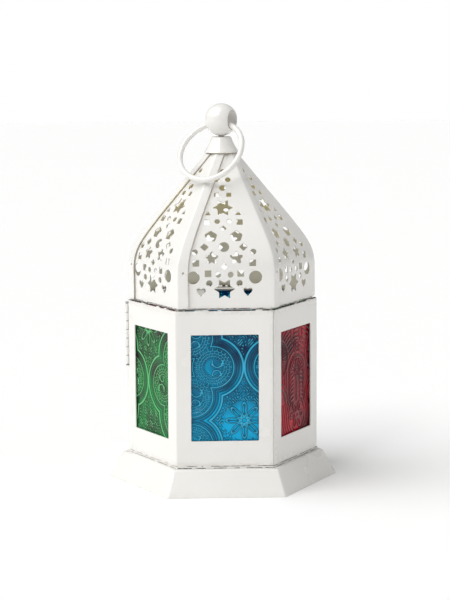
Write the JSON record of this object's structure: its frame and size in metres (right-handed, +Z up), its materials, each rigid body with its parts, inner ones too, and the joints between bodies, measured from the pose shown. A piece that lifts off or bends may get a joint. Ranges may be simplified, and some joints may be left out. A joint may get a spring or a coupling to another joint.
{
  "type": "candle lantern",
  "caption": "Hexagonal sheet-metal candle lantern with coloured glass panes, a hinged side door, a pierced domed roof and a hanging ring.",
  "frame": {"origin": "middle of the base, on the plane it stands on", "axes": "+Z up, the front face looks along -Y, two of the hexagon's corners lie on the X axis"},
  "size_m": [0.1032, 0.0894, 0.1682],
  "materials": {
    "enamel": "glossy warm white enamel on tinplate",
    "blue_glass": "pressed translucent blue glass",
    "red_glass": "pressed translucent red glass",
    "green_glass": "pressed translucent green glass",
    "tinplate": "bright tinplate",
    "steel": "plain steel wire and rivets"
  },
  "bodies": {
    "housing": {"base_skirt": "enamel", "floor_plate": "enamel", "candle_cup": "tinplate", "panel_front": "enamel", "panel_front_right": "enamel", "panel_back_right": "enamel", "panel_back": "enamel", "panel_front_left": "enamel", "pane_front": "blue_glass", "pane_front_right": "red_glass", "pane_back_right": "green_glass", "pane_back": "blue_glass", "pane_front_left": "green_glass", "hinge_leaf_body": "enamel", "hinge_pin": "steel", "latch_rivet": "steel", "top_ring": "enamel", "roof_petal_front": "enamel", "roof_petal_front_right": "enamel", "roof_petal_back_right": "enamel", "roof_petal_back": "enamel", "roof_petal_back_left": "enamel", "roof_petal_front_left": "enamel", "neck_cap": "enamel", "finial_ball": "enamel", "finial_stud": "steel", "finial_nut": "steel"},
    "door": {"door_panel": "enamel", "pane_door": "red_glass", "hinge_leaf_door": "enamel"},
    "latch": {"latch_tab": "enamel"},
    "ring": {"hanging_ring": "enamel"}
  },
  "joints": [
    {"name": "door_hinge", "type": "hinge", "parent": "housing", "child": "door", "pos_m": [-0.04272, 0, 0.0516], "axis": [0, 0, 1], "range_deg": [0, 120]},
    {"name": "latch_swivel", "type": "hinge", "parent": "housing", "child": "latch", "pos_m": [-0.01836, 0.0373, 0.0469], "axis": [0, 1, 0], "continuous": true},
    {"name": "ring_swing", "type": "hinge", "parent": "housing", "child": "ring", "pos_m": [0, 0, 0.161], "axis": [-0.866, 0.5, 0], "range_deg": [0, 287]}
  ]
}
